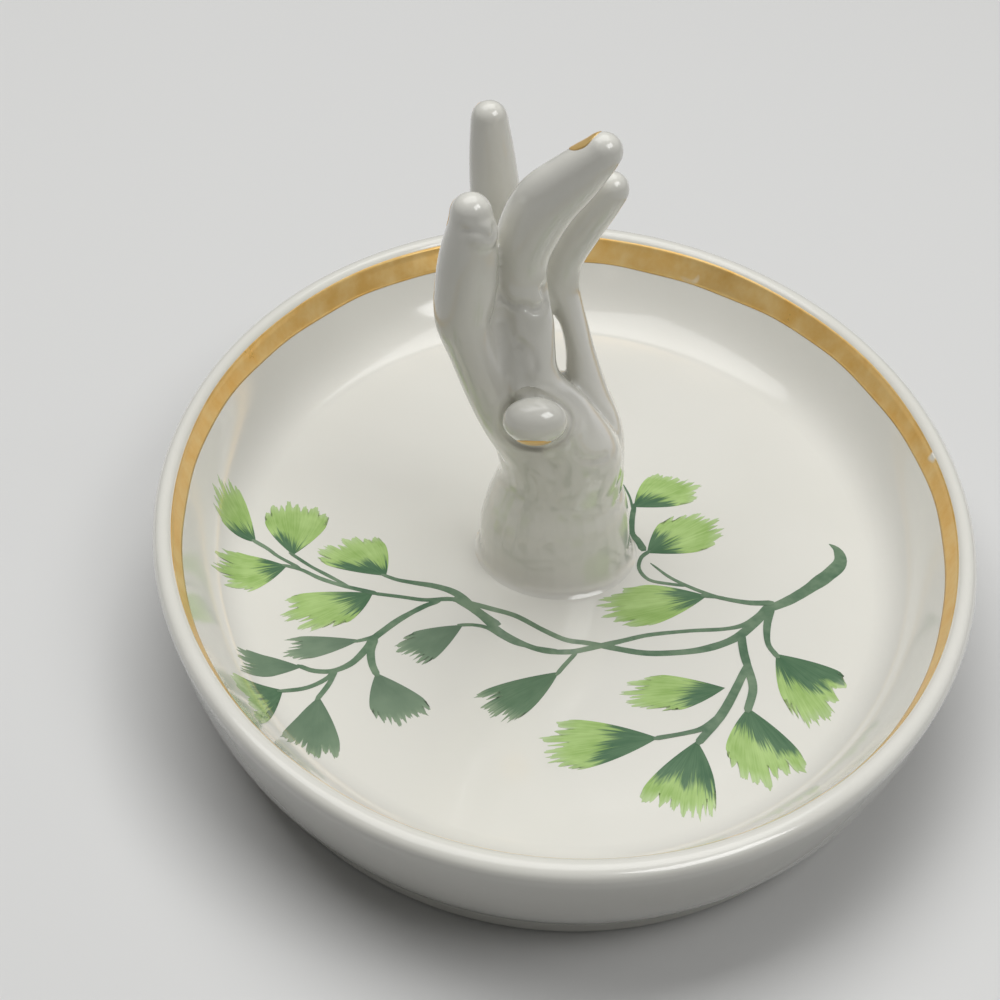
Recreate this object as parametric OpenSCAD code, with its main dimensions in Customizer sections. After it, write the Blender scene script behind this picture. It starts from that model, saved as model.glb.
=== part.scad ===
// Oval porcelain ring dish with an upright hand that holds the rings.
// The dish is long in Y and stands on its foot ring at z = 0.

/* [Dish] */
// Width across the rim, the short way
dish_w = 101.6; // [84:0.2:116]
// Length across the rim, the long way
dish_l = 130.6; // [118:0.2:150]
// Height of the rim above the table
dish_h = 18; // [16.5:0.5:22]
// Thickness of the rounded lip
lip_t = 2.4; // [2:0.1:3.2]
// Thickness of the floor
floor_t = 4; // [3.2:0.2:4.6]
// How far the outside of the wall leans in on its way down
wall_lean = 6.1; // [4:0.1:9]
// Width of the cove between the floor and the lip
cove_w = 8.6; // [7:0.2:11]

/* [Foot ring] */
// Height of the foot ring
foot_h = 3.2; // [2.4:0.1:4]
// Width of the foot ring's band
foot_band = 3; // [2.4:0.1:4]
// Rounding of the foot ring's edges
foot_round = 0.6; // [0.3:0.1:0.9]

/* [Gilding] */
// Width of the gold band below the lip
gold_w = 3.4; // [2:0.2:4.4]
// Thickness that the gold band is modelled at
gold_t = 0.1; // [0.06:0.01:0.2]
// Bare glaze between the lip's crest and the gold band
gold_drop = 1.9; // [1.4:0.1:2.6]

/* [Hand] */
// Height of the hand above the dish's floor
hand_h = 62.4; // [50:0.2:72]
// Width of the hand where it is luted to the dish
wrist_base_w = 19; // [16:0.2:23]
// Width of the wrist at its narrowest
wrist_w = 15.6; // [13:0.2:18]
// Width across the palm
palm_w = 17.8; // [16:0.2:21]
// Thickness of a finger near its root
finger_d = 6.6; // [5.6:0.1:7.6]
// Width of the thumb's tip
thumb_w = 7.6; // [6.4:0.1:9]
// Reach of the slip round the wrist, out across the floor
slip_w = 3; // [2:0.2:6]
// Height of the slip up the wrist
slip_h = 3.6; // [2.4:0.2:5]

/* [Hidden] */

glaze = [0.90, 0.90, 0.87];
gold = [0.80, 0.62, 0.28];

// Round shapes are turned in quarters, and each is drawn out to the oval
turn_steps = 144;
rim_r = dish_w / 2;
oval = dish_l / dish_w;

// Profiles are drawn outwards from the rim, so x = 0 is the rim and the inside is negative
lip_r = lip_t / 2;
lip_z = dish_h - lip_r;
lip_in = -lip_t;
floor_z = foot_h + floor_t;
foot_x = -wall_lean;
cove_x = lip_in - cove_w;

// A point on a curve through four handles, at t from 0 to 1
function bezier(p, t) =
    pow(1 - t, 3) * p[0] + 3 * pow(1 - t, 2) * t * p[1]
    + 3 * (1 - t) * t * t * p[2] + pow(t, 3) * p[3];
function bezier_run(p, steps) = [for (i = [0:steps]) bezier(p, i / steps)];
function arc(c, r, from, to, steps) =
    [for (i = [0:steps]) let (a = from + (to - from) * i / steps) c + r * [cos(a), sin(a)]];

// Outside of the wall, from the foot up to the lip, and inside, from the lip down to the floor
outer_wall = [[foot_x, foot_h], [foot_x * 0.49, foot_h + 1],
              [foot_x * 0.26, foot_h + (lip_z - foot_h) * 0.47], [-0.01, lip_z - 0.2]];
inner_wall = [[lip_in, lip_z], [lip_in - cove_w * 0.36, lip_z - (lip_z - floor_z) * 0.62],
              [cove_x + cove_w * 0.42, floor_z + 0.5], [cove_x, floor_z]];
wall_steps = 12;
lip_steps = 8;

// Carries a profile, drawn outwards from the rim, round the oval
module round_the_oval() {
    for (quarter = [0, 90, 180, 270])
        scale([1, oval, 1]) rotate(quarter) rotate_extrude(angle = 90, $fn = turn_steps) children();
}

module dish() {
    color(glaze)
        round_the_oval()
            polygon(concat([[0, foot_h]],
                           [for (p = bezier_run(outer_wall, wall_steps)) p + [rim_r, 0]],
                           arc([rim_r - lip_r, lip_z], lip_r, 0, 180, lip_steps),
                           [for (i = [1:wall_steps]) bezier(inner_wall, i / wall_steps) + [rim_r, 0]],
                           [[0, floor_z]]));
}

module foot_ring() {
    color(glaze)
        round_the_oval() {
            outside = rim_r + foot_x;
            inside = outside - foot_band;
            polygon(concat([[inside, foot_h]],
                           arc([inside + foot_round, foot_round], foot_round, 180, 270, 4),
                           arc([outside - foot_round, foot_round], foot_round, 270, 360, 4),
                           [[outside, foot_h]]));
        }
}

// The gold lies on the inner wall, between two places on the wall's own curve
gold_from = (gold_drop - lip_r) / (lip_z - floor_z) * 0.62;
gold_to = gold_from + gold_w / (lip_z - floor_z) * 0.5;
gold_steps = 5;

module rim_gilding() {
    on_wall = [for (i = [0:gold_steps])
               bezier(inner_wall, gold_from + (gold_to - gold_from) * i / gold_steps)];
    across = on_wall[gold_steps] - on_wall[0];
    inward = [across[1], -across[0]] / norm(across) * gold_t;
    color(gold)
        round_the_oval()
            translate([rim_r, 0])
                polygon(concat(on_wall, [for (i = [gold_steps:-1:0]) on_wall[i] + inward]));
}

// The hand's stations were drawn for this height, and are stretched with it
drawn_hand_h = 62.4;
hand_k = hand_h / drawn_hand_h;
ring_sides = 16;
palm_sides = 20;
steps_between = 3;

// Catmull-Rom run through stations, which may hold sizes after their places
function smooth(p0, p1, p2, p3, t) =
    0.5 * (2 * p1 + (p2 - p0) * t + (2 * p0 - 5 * p1 + 4 * p2 - p3) * t * t
           + (3 * p1 - p0 - 3 * p2 + p3) * t * t * t);
function at(s, i) = s[max(0, min(len(s) - 1, i))];
function run(s, n) = [for (i = [0:len(s) - 2], j = [0:n - 1])
                      smooth(at(s, i - 1), s[i], s[i + 1], at(s, i + 2), j / n)];
function place(s) = [s[0], s[1], s[2]];
function unit(v) = v / norm(v);

// One ring of a skin: c its middle, u and v its two directions, a and b its half widths
function ring(c, u, v, a, b, sides) =
    [for (i = [0:sides - 1]) c + a * cos(360 * i / sides) * u + b * sin(360 * i / sides) * v];

module skin(rings, start, end) {
    sides = len(rings[0]);
    last = len(rings) - 1;
    points = concat([for (r = rings) each r], [start, end]);
    first_cap = len(points) - 2;
    polyhedron(points = points,
        faces = concat(
            [for (k = [0:last - 1], i = [0:sides - 1]) let (j = (i + 1) % sides)
                [k * sides + i, (k + 1) * sides + i, (k + 1) * sides + j]],
            [for (k = [0:last - 1], i = [0:sides - 1]) let (j = (i + 1) % sides)
                [k * sides + i, (k + 1) * sides + j, k * sides + j]],
            [for (i = [0:sides - 1]) [first_cap, i, (i + 1) % sides]],
            [for (i = [0:sides - 1]) [first_cap + 1, last * sides + (i + 1) % sides, last * sides + i]]));
}

// Stations of a digit: x, y, height above the floor, and two half widths as shares of its size.
// The first half width lies across the joints, the second along side.
module digit(stations, size, side) {
    flow = run(stations, steps_between);
    tip = stations[len(stations) - 1];
    path = [for (s = flow) hand_k * place(s)];
    heading = unit(hand_k * place(tip) - path[len(path) - 1]);
    tip_angles = [0, 25, 48, 66, 80];
    tip_half = size * tip[3];
    centres = concat(path, [for (a = tip_angles) hand_k * place(tip) + heading * tip_half * sin(a)]);
    halves = concat([for (s = flow) size * [s[3], s[4]]],
                    [for (a = tip_angles) size * [tip[3], tip[4]] * cos(a)]);
    n = len(centres);
    rings = [for (i = [0:n - 1])
        let (t = unit(centres[min(i + 1, n - 1)] - centres[max(i - 1, 0)]),
             u = unit(cross(side, t)),
             v = cross(t, u))
        ring(centres[i], u, v, halves[i][0], halves[i][1], ring_sides)];
    translate([0, 0, floor_z])
        skin(rings, centres[0], centres[n - 1] + heading * tip_half * (1 - sin(80)));
}

// Stations of the wrist and the back of the hand: x, y, height above the floor, half width
// and half depth
palm_stations = [
    [-0.7, 0.0, 0.0, wrist_base_w * 0.5, wrist_base_w * 0.495],
    [-1.0, 0.0, 4.5, wrist_base_w * 0.5, wrist_base_w * 0.485],
    [-0.9, 0.0, 8.0, wrist_base_w * 0.47, wrist_base_w * 0.46],
    [-0.9, 0.0, 10.8, wrist_w * 0.52, wrist_w * 0.52],
    [-0.6, -0.1, 13.4, wrist_w / 2, wrist_w / 2],
    [-1.3, -0.2, 17.0, wrist_w / 2, wrist_w / 2],
    [-3.0, 0.2, 20.5, palm_w * 0.38, palm_w * 0.43],
    [-5.3, 0.5, 24.0, palm_w * 0.28, palm_w * 0.44],
    [-7.6, 0.8, 28.5, palm_w * 0.26, palm_w * 0.45],
    [-9.6, 1.0, 33.5, palm_w * 0.26, palm_w * 0.46],
    [-10.8, 1.0, 37.5, palm_w * 0.24, palm_w * 0.43],
    [-11.2, 1.2, 40.2, palm_w * 0.18, palm_w * 0.33]];

// The masses of flesh that cup the palm: the ball of the thumb, the heel of the hand and the root
// of the index finger. Half widths are shares of the palm's width
thumb_ball = [for (s = [
    [-0.6, -1.5, 11.0, 0.37, 0.35], [0.3, -2.4, 15.5, 0.36, 0.33], [0.6, -2.9, 19.2, 0.30, 0.32],
    [-1.9, -4.0, 24.6, 0.24, 0.29], [-4.6, -4.5, 28.5, 0.20, 0.27], [-5.7, -4.4, 30.9, 0.20, 0.24],
    [-6.1, -4.1, 33.8, 0.20, 0.22], [-6.4, -3.6, 36.6, 0.20, 0.20], [-6.9, -3.1, 39.5, 0.19, 0.18]])
    [s[0], s[1], s[2], s[3] * palm_w, s[4] * palm_w]];
heel = [for (s = [
    [0.2, 0.5, 10.5, 0.38, 0.38], [1.0, 1.2, 14.5, 0.35, 0.36], [1.6, 2.0, 18.4, 0.28, 0.31],
    [1.7, 3.0, 22.5, 0.18, 0.26], [0.9, 3.5, 27.0, 0.13, 0.21], [-0.1, 3.6, 31.5, 0.10, 0.19],
    [-1.3, 3.4, 35.5, 0.11, 0.17], [-2.2, 3.1, 38.5, 0.13, 0.15]])
    [s[0], s[1], s[2], s[3] * palm_w, s[4] * palm_w]];
index_root = [for (s = [
    [-3.4, -3.0, 15.5, 0.20, 0.20], [-4.7, -3.4, 18.5, 0.21, 0.20], [-7.2, -4.0, 23.0, 0.21, 0.20],
    [-9.1, -4.5, 27.3, 0.21, 0.20], [-11.4, -4.9, 33.4, 0.21, 0.19], [-13.0, -5.4, 38.0, 0.20, 0.19]])
    [s[0], s[1], s[2], s[3] * palm_w, s[4] * palm_w]];

// Level rings along stations, rounded off by a point on top
module flesh(stations) {
    flow = concat(run(stations, steps_between), [stations[len(stations) - 1]]);
    top = stations[len(stations) - 1];
    translate([0, 0, floor_z])
        skin([for (s = flow) ring(hand_k * place(s), [1, 0, 0], [0, 1, 0], s[3], s[4], palm_sides)],
             hand_k * place(stations[0]), hand_k * (place(top) + [0, 0, 1.2]));
}

module palm_shape() {
    flesh(palm_stations);
    flesh(thumb_ball);
    flesh(heel);
    flesh(index_root);
}

index_stations = [
    [-11.6, -4.9, 34.0, 0.52, 0.48], [-13.0, -5.4, 38.0, 0.56, 0.52], [-13.1, -6.0, 43.0, 0.55, 0.50],
    [-12.9, -6.6, 47.2, 0.50, 0.47], [-12.7, -7.0, 50.4, 0.43, 0.42], [-12.8, -7.1, 52.4, 0.36, 0.36]];
middle_stations = [
    [-7.1, -2.8, 35.0, 0.44, 0.42], [-6.9, -2.8, 40.0, 0.47, 0.45], [-6.8, -3.0, 44.0, 0.46, 0.45],
    [-6.5, -3.4, 47.8, 0.54, 0.48], [-4.7, -3.9, 52.2, 0.56, 0.47], [-1.7, -4.4, 55.9, 0.48, 0.43],
    [0.6, -4.8, 58.6, 0.38, 0.36], [1.3, -4.9, 59.5, 0.34, 0.33]];
ring_stations = [
    [-1.9, 3.2, 36.6, 0.20, 0.24], [-2.3, 2.9, 39.0, 0.36, 0.40], [-2.1, 2.6, 41.8, 0.39, 0.39],
    [-0.6, 2.1, 45.4, 0.39, 0.38], [1.4, 1.5, 49.2, 0.36, 0.36], [2.8, 1.1, 51.7, 0.33, 0.32]];
little_stations = [
    [-9.0, 5.2, 34.0, 0.48, 0.44], [-9.2, 6.2, 39.0, 0.50, 0.46], [-9.8, 6.7, 43.5, 0.48, 0.45],
    [-10.4, 6.9, 47.6, 0.45, 0.44], [-11.0, 7.0, 52.8, 0.40, 0.39], [-11.4, 7.1, 56.7, 0.33, 0.33]];
thumb_stations = [
    [-4.0, -4.0, 22.3, 0.47, 0.36], [-4.2, -7.0, 24.6, 0.49, 0.36], [-4.4, -10.0, 26.8, 0.50, 0.37],
    [-4.5, -11.2, 27.8, 0.49, 0.36]];

module index_shape() { digit(index_stations, finger_d, [0, 1, 0]); }
module middle_shape() { digit(middle_stations, finger_d, [0, 1, 0]); }
module ring_shape() { digit(ring_stations, finger_d, [0, 1, 0]); }
module little_shape() { digit(little_stations, finger_d, [0, 1, 0]); }
module thumb_shape() { digit(thumb_stations, thumb_w, [0, 1, 0]); }

module palm() { color(glaze) palm_shape(); }

// Each digit is fitted against the palm, and against the digit beside it
module thumb() { color(glaze) difference() { thumb_shape(); palm_shape(); } }
module index_finger() { color(glaze) difference() { index_shape(); palm_shape(); } }
module middle_finger() {
    color(glaze) difference() { middle_shape(); palm_shape(); index_shape(); }
}
module ring_finger() {
    color(glaze) difference() { ring_shape(); palm_shape(); middle_shape(); }
}
module little_finger() {
    color(glaze) difference() { little_shape(); palm_shape(); middle_shape(); ring_shape(); }
}

// Slip smoothed into the corner between the wrist and the floor
module slip_fillet() {
    inside = wrist_base_w * 0.37;
    reach = wrist_base_w / 2 + slip_w;
    color(glaze)
        difference() {
            translate([palm_stations[0][0] * hand_k, 0, floor_z])
                rotate_extrude($fn = turn_steps)
                    polygon(concat([[inside, 0], [reach, 0]],
                        bezier_run([[reach, slip_h * 0.03],
                                    [wrist_base_w / 2 + slip_w * 0.3, slip_h * 0.1],
                                    [wrist_base_w * 0.515, slip_h * 0.4],
                                    [wrist_base_w * 0.49, slip_h]], 8),
                        [[inside, slip_h]]));
            palm_shape();
        }
}

dish();
foot_ring();
rim_gilding();
slip_fillet();
palm();
thumb();
index_finger();
middle_finger();
ring_finger();
little_finger();
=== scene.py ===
"""An oval porcelain ring dish with an upright left hand, a gold band and a painted leaf spray."""

import math

import bmesh
import bpy
from mathutils import Matrix, Vector
from mathutils.bvhtree import BVHTree


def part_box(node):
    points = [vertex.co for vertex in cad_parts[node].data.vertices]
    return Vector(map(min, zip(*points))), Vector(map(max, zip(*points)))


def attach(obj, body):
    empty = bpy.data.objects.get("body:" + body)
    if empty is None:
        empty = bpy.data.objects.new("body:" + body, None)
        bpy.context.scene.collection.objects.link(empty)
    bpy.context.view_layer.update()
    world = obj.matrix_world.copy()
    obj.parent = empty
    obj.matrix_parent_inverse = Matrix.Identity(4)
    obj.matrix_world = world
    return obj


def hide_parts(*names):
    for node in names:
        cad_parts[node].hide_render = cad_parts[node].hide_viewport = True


MM = 0.001

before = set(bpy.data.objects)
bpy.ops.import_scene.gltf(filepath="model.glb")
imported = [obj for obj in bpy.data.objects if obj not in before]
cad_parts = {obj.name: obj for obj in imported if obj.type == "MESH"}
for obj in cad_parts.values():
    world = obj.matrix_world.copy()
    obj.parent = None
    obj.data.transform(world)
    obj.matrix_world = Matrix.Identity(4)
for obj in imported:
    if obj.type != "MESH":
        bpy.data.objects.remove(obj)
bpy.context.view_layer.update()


# Sizes in millimetres. Those that the frame's boxes don't give repeat the solids' own sizes

def span(node):
    """Lowest and highest corner of a node, in millimetres."""
    low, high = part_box(node)
    return low / MM, high / MM


dish_low, dish_high = span("dish")
foot_low, foot_high = span("foot_ring")

RIM_X = dish_high.x
RIM_Y = dish_high.y
RIM_Z = dish_high.z
FOOT_H = foot_high.z
FOOT_X = foot_high.x
OVAL = RIM_Y / RIM_X
FLOOR_Z = span("slip_fillet")[0].z
LIP_T = 2.4
LIP_R = LIP_T / 2
COVE_W = 8.6
LIP_Z = RIM_Z - LIP_R


# Small geometry helpers

def bezier(handles, t):
    """A point on a curve through four handles, at t from 0 to 1."""
    a, b, c, d = (Vector(h) for h in handles)
    s = 1 - t
    return s ** 3 * a + 3 * s * s * t * b + 3 * s * t * t * c + t ** 3 * d


def smooth_run(stations, steps):
    """Catmull-Rom run through stations, which may hold sizes after their places."""
    last = len(stations) - 1
    run = []
    for i in range(last):
        p0, p1, p2, p3 = (stations[max(0, min(last, k))] for k in (i - 1, i, i + 1, i + 2))
        for j in range(steps):
            t = j / steps
            run.append([0.5 * (2 * b + (c - a) * t + (2 * a - 5 * b + 4 * c - d) * t * t
                               + (3 * b - a - 3 * c + d) * t ** 3)
                        for a, b, c, d in zip(p0, p1, p2, p3)])
    run.append(list(stations[last]))
    return run


def new_object(name, mesh):
    thing = bpy.data.objects.new(name, mesh)
    bpy.context.scene.collection.objects.link(thing)
    return thing


def mesh_from(name, verts, faces):
    """A mesh from places in millimetres."""
    mesh = bpy.data.meshes.new(name)
    mesh.from_pydata([Vector(v) * MM for v in verts], [], faces)
    mesh.update()
    return mesh


def smooth_shaded(mesh):
    for face in mesh.polygons:
        face.use_smooth = True


def settle(thing):
    """Turns an object's modifiers into plain mesh."""
    graph = bpy.context.evaluated_depsgraph_get()
    mesh = bpy.data.meshes.new_from_object(thing.evaluated_get(graph))
    thing.modifiers.clear()
    thing.data = mesh


def skin_of(thing):
    """An object's surface, to drop points on."""
    return BVHTree.FromPolygons([v.co for v in thing.data.vertices],
                                [tuple(f.vertices) for f in thing.data.polygons])


def grid_faces(rows, sides, closed_rows=False):
    """Faces between rows of points that each close on themselves."""
    faces = []
    for r in range(rows if closed_rows else rows - 1):
        for i in range(sides):
            j = (i + 1) % sides
            k = (r + 1) % rows
            faces.append((r * sides + i, r * sides + j, k * sides + j, k * sides + i))
    return faces


# Shader maths

class Value:
    """A number inside a node tree, so that node maths reads as Python."""

    def __init__(self, tree, socket):
        self.tree = tree
        self.socket = socket

    def maths(self, operation, first, second):
        return self.tree.node("ShaderNodeMath", {"operation": operation}, {0: first, 1: second})

    def __add__(self, other):
        return self.maths("ADD", self, other)

    def __sub__(self, other):
        return self.maths("SUBTRACT", self, other)

    def __rsub__(self, other):
        return self.maths("SUBTRACT", other, self)

    def __mul__(self, other):
        return self.maths("MULTIPLY", self, other)

    def __pow__(self, other):
        return self.maths("POWER", self, other)

    __radd__ = __add__
    __rmul__ = __mul__


class Tree:
    """A node tree, filled one node at a time."""

    def node(self, kind, settings=None, sockets=None, output=0):
        """Adds one node; sockets hold plain values or links, and one output comes back."""
        made = self.nodes.nodes.new(kind)
        for key, value in (settings or {}).items():
            if key == "stops":
                ramp = made.color_ramp
                while len(ramp.elements) < len(value):
                    ramp.elements.new(1.0)
                for stop, (place, tone) in zip(ramp.elements, value):
                    stop.position = place
                    stop.color = tone
            else:
                setattr(made, key, value)
        for key, value in (sockets or {}).items():
            if isinstance(value, Value):
                self.nodes.links.new(value.socket, made.inputs[key])
            else:
                made.inputs[key].default_value = value
        return Value(self, made.outputs[output])

    def vector(self, operation, first, second=(0.0, 0.0, 0.0)):
        return self.node("ShaderNodeVectorMath", {"operation": operation}, {0: first, 1: second})

    def scaled(self, vector, amount):
        return self.node("ShaderNodeVectorMath", {"operation": "SCALE"}, {0: vector, "Scale": amount})

    def noise(self, scale, detail=2.0, roughness=0.5, at=None):
        return self.node("ShaderNodeTexNoise", None,
                         {"Vector": at or self.place(), "Scale": scale, "Detail": detail,
                          "Roughness": roughness})

    def between(self, value, low, high, to_low=0.0, to_high=1.0):
        return self.node("ShaderNodeMapRange", {"clamp": True},
                         {"Value": value, "From Min": low, "From Max": high,
                          "To Min": to_low, "To Max": to_high})

    def triple(self, x, y, z):
        return self.node("ShaderNodeCombineXYZ", None, {0: x, 1: y, 2: z})


class Finish(Tree):
    """A material and its nodes."""

    def __init__(self, name):
        self.material = bpy.data.materials.new(name)
        self.material.use_nodes = True
        self.nodes = self.material.node_tree
        self.nodes.nodes.clear()

    def place(self):
        return self.node("ShaderNodeTexCoord", output="Object")

    def written(self, name):
        """A number that the mesh carries at each point."""
        return self.node("ShaderNodeAttribute", {"attribute_name": name}, output="Fac")

    def mix(self, amount, first, second):
        return self.node("ShaderNodeMix", {"data_type": "RGBA"}, {0: amount, 6: first, 7: second}, 2)

    def bump(self, height, distance, strength=1.0):
        return self.node("ShaderNodeBump", None,
                         {"Height": height, "Distance": distance, "Strength": strength})

    def surface(self, **sockets):
        named = {key.replace("_", " "): value for key, value in sockets.items()}
        shader = self.node("ShaderNodeBsdfPrincipled", None, named)
        self.node_output(shader)
        return self.material

    def node_output(self, shader):
        out = self.nodes.nodes.new("ShaderNodeOutputMaterial")
        self.nodes.links.new(shader.socket, out.inputs[0])


class Growth(Tree):
    """A geometry tree with named inputs, grown on an object and then made plain mesh."""

    def __init__(self, name, inputs):
        self.nodes = bpy.data.node_groups.new(name, "GeometryNodeTree")
        face = self.nodes.interface
        face.new_socket("Geometry", in_out="INPUT", socket_type="NodeSocketGeometry")
        for label, kind in inputs:
            face.new_socket(label, in_out="INPUT", socket_type="NodeSocket" + kind)
        face.new_socket("Geometry", in_out="OUTPUT", socket_type="NodeSocketGeometry")
        self.entry = self.nodes.nodes.new("NodeGroupInput")

    def given(self, label):
        return Value(self, self.entry.outputs[label])

    def place(self):
        return self.node("GeometryNodeInputPosition")

    def carried(self, name, kind="FLOAT"):
        return self.node("GeometryNodeInputNamedAttribute", {"data_type": kind}, {"Name": name})

    def store(self, geometry, name, value, kind="FLOAT"):
        return self.node("GeometryNodeStoreNamedAttribute", {"data_type": kind, "domain": "POINT"},
                         {"Geometry": geometry, "Name": name, "Value": value})

    def laid_on(self, geometry, ground, lift):
        """Drops a flat shape on to the ground from above."""
        above = self.vector("ADD", self.place(), (0.0, 0.0, 0.08))
        ray = {"Target Geometry": self.node("GeometryNodeObjectInfo", None, {"Object": ground}, 4),
               "Source Position": above, "Ray Direction": (0.0, 0.0, -1.0), "Ray Length": 0.2}
        spot = self.node("GeometryNodeRaycast", {"data_type": "FLOAT"}, ray, "Hit Position")
        caster = spot.socket.node
        facing = Value(self, caster.outputs["Hit Normal"])
        met = Value(self, caster.outputs["Is Hit"])
        return self.node("GeometryNodeSetPosition", None,
                         {"Geometry": geometry, "Selection": met,
                          "Position": self.vector("ADD", spot, self.scaled(facing, lift))})

    def close(self, geometry, material):
        geometry = self.node("GeometryNodeRealizeInstances", None, {"Geometry": geometry})
        geometry = self.node("GeometryNodeSetMaterial", None,
                             {"Geometry": geometry, "Material": material})
        out = self.nodes.nodes.new("NodeGroupOutput")
        self.nodes.links.new(geometry.socket, out.inputs[0])

    def grow(self, thing, values):
        """Runs the tree on an object with its inputs set, and keeps the mesh that comes out."""
        modifier = thing.modifiers.new("growth", "NODES")
        modifier.node_group = self.nodes
        for item in self.nodes.interface.items_tree:
            if item.in_out == "INPUT" and item.name in values:
                modifier[item.identifier] = values[item.name]
        graph = bpy.context.evaluated_depsgraph_get()
        mesh = bpy.data.meshes.new_from_object(thing.evaluated_get(graph))
        grown = new_object(thing.name + "_grown", mesh)
        bpy.data.objects.remove(thing)
        return grown


def colour(r, g, b):
    return (r, g, b, 1.0)


def porcelain():
    """White body under a clear, slightly uneven glaze."""
    f = Finish("glazed_porcelain")
    cloud = f.noise(28.0, 3.0)
    tint = f.mix(f.between(cloud, 0.35, 0.7), colour(0.775, 0.765, 0.70), colour(0.81, 0.80, 0.74))
    waves = f.noise(160.0, 2.0) * 0.7 + f.noise(900.0, 1.0) * 0.3
    return f.surface(
        Base_Color=tint,
        Roughness=f.between(f.noise(60.0), 0.3, 0.7, 0.10, 0.17),
        Coat_Weight=1.0,
        Coat_Roughness=0.08,
        Normal=f.bump(waves, 0.00006, 0.6))


def bare_porcelain():
    """The unglazed foot, ground where it stands."""
    f = Finish("bare_porcelain")
    grain = f.noise(2500.0, 3.0, 0.6)
    tint = f.mix(f.between(grain, 0.4, 0.7), colour(0.74, 0.73, 0.68), colour(0.80, 0.79, 0.75))
    return f.surface(Base_Color=tint, Roughness=f.between(grain, 0.3, 0.7, 0.5, 0.75),
                     Normal=f.bump(grain, 0.00003, 0.5))


def brushed_gold():
    """Gold lustre laid on with a brush, thinner in streaks."""
    f = Finish("rim_gold")
    streak = f.noise(260.0, 4.0, 0.6)
    blotch = f.noise(45.0, 2.0)
    tone = f.mix(f.between(streak, 0.35, 0.7), colour(0.92, 0.56, 0.16), colour(1.0, 0.72, 0.31))
    worn = f.between(f.noise(75.0, 3.0, 0.7), 0.67, 0.71)
    return f.surface(
        Base_Color=f.mix(worn, tone, colour(0.79, 0.77, 0.70)),
        Metallic=f.between(blotch, 0.3, 0.6, 0.35, 0.6) * (1 - worn),
        Roughness=f.between(streak * 0.6 + blotch * 0.4, 0.3, 0.7, 0.26, 0.42),
        Normal=f.bump(streak, 0.00004, 0.5))


PORCELAIN = porcelain()
FOOT = bare_porcelain()
GOLD = brushed_gold()


def dress(thing, material):
    thing.data.materials.clear()
    thing.data.materials.append(material)
    smooth_shaded(thing.data)


# The camera's aim, and what it sees at a pixel

FRAME_PIXELS = 1000
FOCAL_PIXELS = 2000
CAMERA_AT = (-8.1, -200.5, 168.7)
CAMERA_DOWN = 37.55
CAMERA_ROLL = 2.755
CAMERA_TURN = (Matrix.Rotation(math.radians(90 - CAMERA_DOWN), 4, "X")
               @ Matrix.Rotation(math.radians(CAMERA_ROLL), 4, "Z"))


def under_pixel(skin, px, py):
    """The point of the dish that lies under a pixel of the photograph, in millimetres."""
    half = FRAME_PIXELS / 2
    look = CAMERA_TURN.to_3x3() @ Vector((px - half, half - py, -FOCAL_PIXELS)).normalized()
    hit = skin.ray_cast(Vector(CAMERA_AT) * MM, look)[0]
    return hit / MM


# The dish

AROUND = 288
FLOOR_STEPS = 10
WALL_STEPS = 22
LIP_STEPS = 14
UNDER_STEPS = 6
LEAN = RIM_X - FOOT_X
FOOT_BAND = 3.0
FOOT_EDGE = 0.6
FOOT_EDGE_STEPS = 6
GROUND_HEIGHT = 0.1
OUTER_WALL = ((-LEAN, FOOT_H), (-LEAN * 0.49, FOOT_H + 1.0),
              (-LEAN * 0.26, FOOT_H + (LIP_Z - FOOT_H) * 0.47), (-0.01, LIP_Z - 0.2))
INNER_WALL = ((-LIP_T, LIP_Z), (-LIP_T - COVE_W * 0.36, LIP_Z - (LIP_Z - FLOOR_Z) * 0.62),
              (-LIP_T - COVE_W * 0.58, FLOOR_Z + 0.5), (-LIP_T - COVE_W, FLOOR_Z))


def on_oval(inset, height, turn):
    """A place from the rim inwards (negative inset), at a turn in radians round the oval."""
    reach = RIM_X + inset
    return Vector((reach * math.cos(turn), reach * OVAL * math.sin(turn), height))


def dish_profile():
    """Inset and height from the middle of the floor, over the lip and under to the middle."""
    floor_run = [(-RIM_X * (1 - k / FLOOR_STEPS) - (LIP_T + COVE_W) * (k / FLOOR_STEPS), FLOOR_Z)
                 for k in range(1, FLOOR_STEPS)]
    inner = [tuple(bezier([(*h, 0) for h in INNER_WALL], 1 - k / WALL_STEPS)[:2])
             for k in range(WALL_STEPS)]
    lip = [(-LIP_R - LIP_R * math.cos(a), LIP_Z + LIP_R * math.sin(a))
           for a in (math.pi * k / LIP_STEPS for k in range(LIP_STEPS + 1))]
    outer = [tuple(bezier([(*h, 0) for h in OUTER_WALL], 1 - k / WALL_STEPS)[:2])
             for k in range(1, WALL_STEPS + 1)]
    under = [(-RIM_X * (k / UNDER_STEPS) - LEAN * (1 - k / UNDER_STEPS), FOOT_H)
             for k in range(1, UNDER_STEPS)]
    return floor_run + inner + lip + outer + under


def turned(name, profile, closed):
    """Carries a profile round the oval; an open one is closed at its two poles."""
    verts = [on_oval(inset, height, 2 * math.pi * i / AROUND)
             for inset, height in profile for i in range(AROUND)]
    faces = grid_faces(len(profile), AROUND, closed)
    if not closed:
        first, last = len(verts), len(verts) + 1
        verts += [Vector((0, 0, profile[0][1])), Vector((0, 0, profile[-1][1]))]
        end = (len(profile) - 1) * AROUND
        for i in range(AROUND):
            j = (i + 1) % AROUND
            faces.append((first, j, i))
            faces.append((last, end + i, end + j))
    thing = new_object(name, mesh_from(name, verts, faces))
    outwards(thing)
    return thing


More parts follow.
